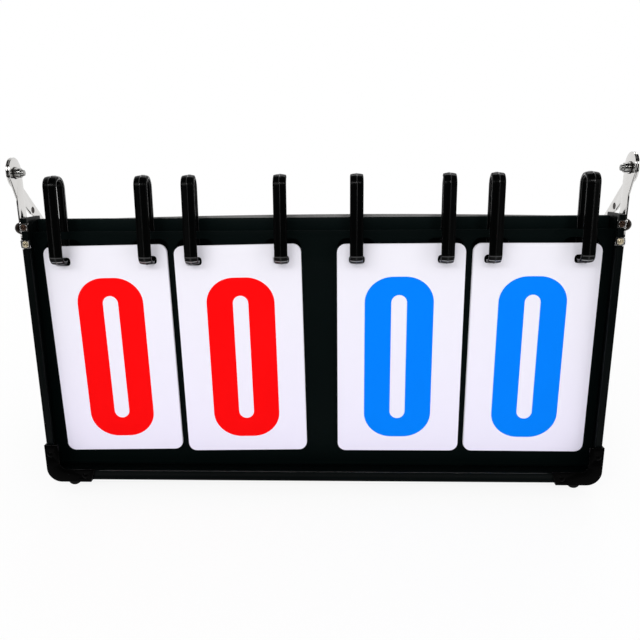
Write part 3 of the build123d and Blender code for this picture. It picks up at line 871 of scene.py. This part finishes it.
def hoop_mesh(name, x):
    """One hoop as a closed ring of rounded T sections."""
    verts, faces, finishes = [], [], []
    rings = len(hoop_path)
    for place, here in enumerate(hoop_path):
        before = Vector(here) - Vector(hoop_path[place - 1])
        after = Vector(hoop_path[(place + 1) % rings]) - Vector(here)
        along = before.normalized() + after.normalized()
        inward = Vector((along.y, -along.x)).normalized()
        for across, deep in tee(band_half(here[0])):
            verts.append(on_case(x + across, here[0] + inward.x * deep, here[1] + inward.y * deep))
    count = len(verts) // rings
    for ring, here in enumerate(hoop_path):
        there = hoop_path[(ring + 1) % rings]
        half = band_half(here[0])
        section = tee(half)
        for point in range(count):
            other = (point + 1) % count
            start, end = ring * count, (ring + 1) % rings * count
            faces.append((start + point, start + other, end + other, end + point))
            finishes.append(face_finish(here, there, section[point], section[other], half))
    mesh = bpy.data.meshes.new(name)
    mesh.from_pydata(verts, [], faces)
    mesh.polygons.foreach_set("material_index", finishes)
    mesh.shade_smooth()
    return tidy_faces(mesh)


print("hoop sweep ready")

# %% [markdown]
# ## Eight hoops
#
# All eight are the same moulding, so only the place across the case differs. It is measured on
# the frame's own hoop, which the new one then stands for.

# %% Put the hoops in
HOOP_NUMBERS = range(1, 9)

for number in HOOP_NUMBERS:
    name = f"hoop_{number}"
    low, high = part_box(name)
    middle = (low[0] + high[0]) / 2 / MM
    mesh = hoop_mesh(name + "_moulded", middle)
    piece = show(name + "_moulded", mesh, hoop_black, "case")
    for material in HOOP_FINISHES:
        piece.data.materials.append(material)
    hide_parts(name)
    print(name, "at", round(middle, 1), "mm")

# %% [markdown]
# ## Strips along the case
#
# Two thin strips run along the case, and neither is straight: one bows and one wanders. Each is a
# row of sections across its length, joined face by face and closed at both ends, so one helper
# makes both from a list of sections.

# %% A strip from its sections
def strip_mesh(name, places):
    """A closed strip through sections: each place has its x and its outline in depth and height."""
    verts, faces = [], []
    around = len(places[0][1])
    for x, outline in places:
        verts += [on_case(x, back, up) for back, up in outline]
    for step in range(len(places) - 1):
        for point in range(around):
            a, b = step * around + point, step * around + (point + 1) % around
            faces.append((a, b, b + around, a + around))
    faces += [tuple(range(around)), tuple(range(len(verts) - around, len(verts)))]
    mesh = bpy.data.meshes.new(name)
    mesh.from_pydata(verts, [], faces)
    return tidy_faces(mesh)


print("strip helper ready")

# %% [markdown]
# ## The lip above the top rail
#
# A thin strip stands at the back, a little above the painted rail, in pale grey: a painted highlight that draws
# the light line along the top edge. It bows: it stands highest in the middle and sinks behind the rail towards the
# corners. A strip whose top follows a shallow arch gives that, with its two long edges rounded.

# %% Pale lip
LIP_FOOT = 181.0
LIP_REST = 181.8
LIP_BOW = 2.0
LIP_MIDDLE = 8.0
LIP_HALF = 158.0
LIP_FRONT = 22.6
LIP_THICK = 1.1
LIP_BACK = LIP_FRONT + LIP_THICK
LIP_ROUND = 0.3
LIP_STEPS = 60

places = []
for step in range(LIP_STEPS + 1):
    across = LIP_HALF * (2 * step / LIP_STEPS - 1)
    top = LIP_REST + LIP_BOW * (1 - (across / LIP_HALF) ** 2)
    front_side = [(LIP_FRONT, LIP_FOOT), (LIP_FRONT, top - LIP_ROUND), (LIP_FRONT + LIP_ROUND, top)]
    back_side = [(LIP_BACK - LIP_ROUND, top), (LIP_BACK, top - LIP_ROUND), (LIP_BACK, LIP_FOOT)]
    places.append((LIP_MIDDLE + across, front_side + back_side))
show("back_lip", strip_mesh("back_lip", places), highlight_grey, "case")
print("lip", LIP_HALF * 2, "mm long, bowed by", LIP_BOW, "mm")

# %% [markdown]
# ## The pale line on the bottom rail
#
# Hands and cards slide over the front edge of the bottom rail, and a pale grey line is painted there: a painted
# highlight along the edge, shown as paint gone through to grey metal. It runs between the two corner guards, and
# it is wider in some places than in others, so it is laid as a film whose lower edge wanders.

# %% Pale edge line
EDGE_LINE_END = 157.0
EDGE_LINE_CENTRE = (0.5, 6.5)
EDGE_LINE_RADIUS = 0.5
EDGE_LINE_ARC = (95, 125, 150)
EDGE_LINE_WANDER = 16
EDGE_LINE_STEPS = 90
FILM = 0.03
wander = Random(5)

places = []
for step in range(EDGE_LINE_STEPS + 1):
    shift = wander.uniform(-EDGE_LINE_WANDER, EDGE_LINE_WANDER)
    section = []
    for radius, angles in ((EDGE_LINE_RADIUS + FILM, EDGE_LINE_ARC), (EDGE_LINE_RADIUS - FILM, EDGE_LINE_ARC[::-1])):
        for angle in angles:
            turn = radians(angle + (shift if angle == EDGE_LINE_ARC[-1] else 0))
            section.append((EDGE_LINE_CENTRE[0] + radius * cos(turn), EDGE_LINE_CENTRE[1] + radius * sin(turn)))
    places.append((EDGE_LINE_END * (2 * step / EDGE_LINE_STEPS - 1), section))
show("pale_edge_line", strip_mesh("pale_edge_line", places), highlight_grey, "case")
print("worn line", 2 * EDGE_LINE_END, "mm long")

# %% [markdown]
# ## The shape of a card
#
# A card is stiff board with rounded corners and two punched holes with rounder ends. Its width
# comes from the frame. The two outer cards are cut a trifle narrower than the inner ones.

# %% Card outline
card_low, card_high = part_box("front_card_home_tens")
CARD_WIDTH = (card_high[0] - card_low[0]) / MM
TRIM = {"home_tens": 1.2, "home_ones": 0.0, "guest_tens": 0.0, "guest_ones": 1.2}
CARD_LENGTH = 146.0
CARD_ROUND = 5.5
HOLE_EDGE = 12.9
HOLE_SPACING = CARD_WIDTH - 2 * HOLE_EDGE
HOLE = (10.7, 5.8)
HOLE_ROUND = 2.2
HOLE_DROP = 10.2


def rectangle(width, height, centre, radius, steps=6):
    """A rectangle with round corners about a centre."""
    x, y = centre
    w, h = width / 2, height / 2
    corners = [(x - w, y - h), (x + w, y - h), (x + w, y + h), (x - w, y + h)]
    return round_corners(corners, [radius] * 4, steps)


def card_loops(name, slip=(0.0, 0.0)):
    """The outline of a card and its two holes, below the middle of its top edge."""
    x, y = slip
    width = CARD_WIDTH - TRIM[name]
    loops = [rectangle(width, CARD_LENGTH, (x, y - CARD_LENGTH / 2), CARD_ROUND)]
    for side in (-1, 1):
        loops.append(rectangle(*HOLE, (x + side * HOLE_SPACING / 2, y - HOLE_DROP), HOLE_ROUND, steps=3))
    return loops


print("card", round(CARD_WIDTH, 2), "mm wide, holes", round(HOLE_SPACING, 2), "mm apart")

# %% [markdown]
# ## How a card hangs
#
# A card hangs by gravity from holes wider than its hoops, so it never hangs quite square: each one
# is slid and turned by the little that its holes allow, and its stack behind it the same. It turns
# about the line of its holes, because that is where it is held.

# %% Where a card hangs
HANG = {
    "home_tens": (-0.7, -0.25, 0.95),
    "home_ones": (-0.7, -0.25, 0.9),
    "guest_tens": (0.5, 0.0, 0.1),
    "guest_ones": (0.6, 0.0, -0.2),
}


def card_place(name, forward):
    """The card's own axes: X across, Y up its face, Z out of it, from the middle of its top edge."""
    slide, drop, turn = HANG[name]
    edge = Matrix.Translation(hinges["flip_" + name] - BACK * forward * MM)
    axes = Matrix((Vector((1, 0, 0)), UP, -BACK)).transposed().to_4x4()
    to_holes = Matrix.Translation((slide * MM, (drop - HOLE_DROP) * MM, 0))
    turned = Matrix.Rotation(radians(turn), 4, "Z")
    return edge @ axes @ to_holes @ turned @ Matrix.Translation((0, HOLE_DROP * MM, 0))


print("turns of the cards:", {name: HANG[name][2] for name in CARD_NAMES})

# %% [markdown]
# ## Cutting plates
#
# Card and ink are both flat plates with holes in them. A flat curve that is filled between its
# outer line and its holes, and given a thickness, turns into just such a plate, which saves
# working out the faces between the lines by hand.

# %% Cut a plate
def plate(name, loops, thickness, place):
    """A flat plate between its first loop and the holes, standing forward of its place."""
    curve = bpy.data.curves.new(name, "CURVE")
    curve.dimensions = "2D"
    curve.fill_mode = "BOTH"
    curve.extrude = thickness / 2 * MM
    for loop in loops:
        spline = curve.splines.new("POLY")
        spline.points.add(len(loop) - 1)
        for point, (x, y) in zip(spline.points, loop):
            point.co = (x * MM, y * MM, 0, 1)
        spline.use_cyclic_u = True
    holder = bpy.data.objects.new(name, curve)
    mesh = bpy.data.meshes.new_from_object(holder)
    mesh.name = name
    bpy.data.objects.remove(holder)
    mesh.transform(place)
    return mesh


print("plate helper ready")

# %% [markdown]
# ## The stack of cards
#
# Behind each loose card hangs the rest of its set. The frame holds that as one block, but what the
# eye sees at its edge is leaves, no two quite in line. So the block is cut again as separate leaves
# of the same outline, each slipped a few tenths of a millimetre in its holes.

# %% Cut and stack the leaves
LEAVES = 8
LEAF = 0.2
STACK_FRONT = 10.35
STACK_DEPTH = 2.15
SLIP = 0.22
shuffle = Random(12)

for name in CARD_NAMES:
    stack = bmesh.new()
    for leaf in range(LEAVES):
        slip = (shuffle.uniform(-SLIP, SLIP), shuffle.uniform(-SLIP, 0))
        forward = CARD_FACE / MM - STACK_FRONT - leaf * (STACK_DEPTH - LEAF) / (LEAVES - 1) - LEAF / 2
        sheet = plate("leaf", card_loops(name, slip), LEAF, card_place(name, forward))
        stack.from_mesh(sheet)
        bpy.data.meshes.remove(sheet)
    leaves = bpy.data.meshes.new("leaves_" + name)
    stack.to_mesh(leaves)
    stack.free()
    piece = show("leaves_" + name, leaves, deck_shaded_white, "case")
    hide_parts("card_pack_" + name)
print("stacks of", LEAVES, "leaves", LEAF, "mm thick")

# %% [markdown]
# ## The loose cards
#
# The card that shows is the same leaf once more, cut with the same round-ended holes, a little
# thicker and in a whiter finish. It rides on a body of its own, so that it can be flipped.

# %% Loose cards
LOOSE = 0.25
for name in CARD_NAMES:
    mesh = plate("loose_" + name, card_loops(name), LOOSE, card_place(name, -LOOSE / 2))
    piece = show("loose_" + name, mesh, card_white, "card_" + name)
    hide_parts("front_card_" + name)
print("loose cards", round(CARD_WIDTH, 1), "by", CARD_LENGTH, "mm")

# %% [markdown]
# ## Printed numerals
#
# Each card carries a printed nought. Ink has almost no thickness, but a flat figure painted in the
# shader would have a soft edge when seen close, so every figure is cut as a film of ink. A nought
# needs two lines: an outer one with elliptical corners and an inner slot with round ends.

# %% The outlines of a nought
FIGURE_WIDTH = {"home_tens": 45.0, "home_ones": 46.0, "guest_tens": 46.0, "guest_ones": 45.0}
FIGURE_OFF = {"home_tens": 0.2, "home_ones": 0.5, "guest_tens": -0.8, "guest_ones": -0.9}
FIGURE_TOP = 21.6
FIGURE_FOOT = 135.4
SLOT_WIDTH = 10.4
SLOT_TOP = 34.0
SLOT_FOOT = 121.6
CORNER_ACROSS = 19.0
CORNER_UP = 17.6


def rounded_loop(width, top, foot, across, rise, steps=14):
    """Points round a frame with elliptical corners, in millimetres below the card's top edge."""
    points = []
    corners = [(1, -top - rise, 0), (-1, -top - rise, 90), (-1, -foot + rise, 180), (1, -foot + rise, 270)]
    for side, centre, start in corners:
        for step in range(steps + 1):
            angle = radians(start + 90 * step / steps)
            points.append((side * (width / 2 - across) + across * cos(angle), centre + rise * sin(angle)))
    return points


def nought(name):
    """The outer line of a card's nought and the slot inside it."""
    outer = rounded_loop(FIGURE_WIDTH[name], FIGURE_TOP, FIGURE_FOOT, CORNER_ACROSS, CORNER_UP)
    inner = rounded_loop(SLOT_WIDTH, SLOT_TOP, SLOT_FOOT, SLOT_WIDTH / 2, SLOT_WIDTH / 2)
    return [[(x + FIGURE_OFF[name], y) for x, y in loop] for loop in (outer, inner)]


print("noughts", round(FIGURE_FOOT - FIGURE_TOP, 1), "mm high")

# %% [markdown]
# ## The next numeral
#
# The first leaf of each stack carries the next figure, a plain one of the same height, which shows
# when the card in front of it is flipped. Its outline is a stem with a flag, written corner by
# corner from the foot of the stem and then rounded a little.

# %% The outline of a one
ONE_RIGHT = 9.5
ONE_LEFT = -6.5
ONE_PEAK = -2.0
ONE_TIP = -17.0
ONE_SHOULDER = 37.0
ONE_CHIN = 51.0
ONE_NECK = 44.0
ONE_ROUND = 2.0

one_corners = [
    (ONE_LEFT, -FIGURE_FOOT),
    (ONE_RIGHT, -FIGURE_FOOT),
    (ONE_RIGHT, -FIGURE_TOP),
    (ONE_PEAK, -FIGURE_TOP),
    (ONE_TIP, -ONE_SHOULDER),
    (ONE_TIP, -ONE_CHIN),
    (ONE_LEFT, -ONE_NECK),
]
one_outline = round_corners(one_corners, [ONE_ROUND] * len(one_corners), steps=5)
print("ones", ONE_RIGHT - ONE_LEFT, "mm wide in the stem")

# %% [markdown]
# ## Red and blue ink
#
# The home side is printed in red and the guests' side in blue. The nought lies on the loose card
# and turns over with it. The one lies on the stack behind and stays on the case.

# %% Print the figures
INK = 0.03
INK_OF = {name: red_ink if name.startswith("home") else blue_ink for name in CARD_NAMES}
FIRST_LEAF = CARD_FACE / MM - STACK_FRONT

for name in CARD_NAMES:
    film = plate("figure_" + name, nought(name), INK, card_place(name, INK / 2))
    show("figure_" + name, film, INK_OF[name], "card_" + name)
    film = plate("next_" + name, [one_outline], INK, card_place(name, FIRST_LEAF + INK / 2))
    show("next_" + name, film, INK_OF[name], "case")
print("figures printed:", 2 * len(CARD_NAMES))

# %% [markdown]
# ## The size
#
# Both boxes are printed, the frame's as it came and the finished one as it is now, so that they can be compared.

# %% Record both boxes and finish
VISUAL_BOX = [list(corner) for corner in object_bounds()]
print("visual box in mm:", [[round(c / MM, 1) for c in corner] for corner in VISUAL_BOX])
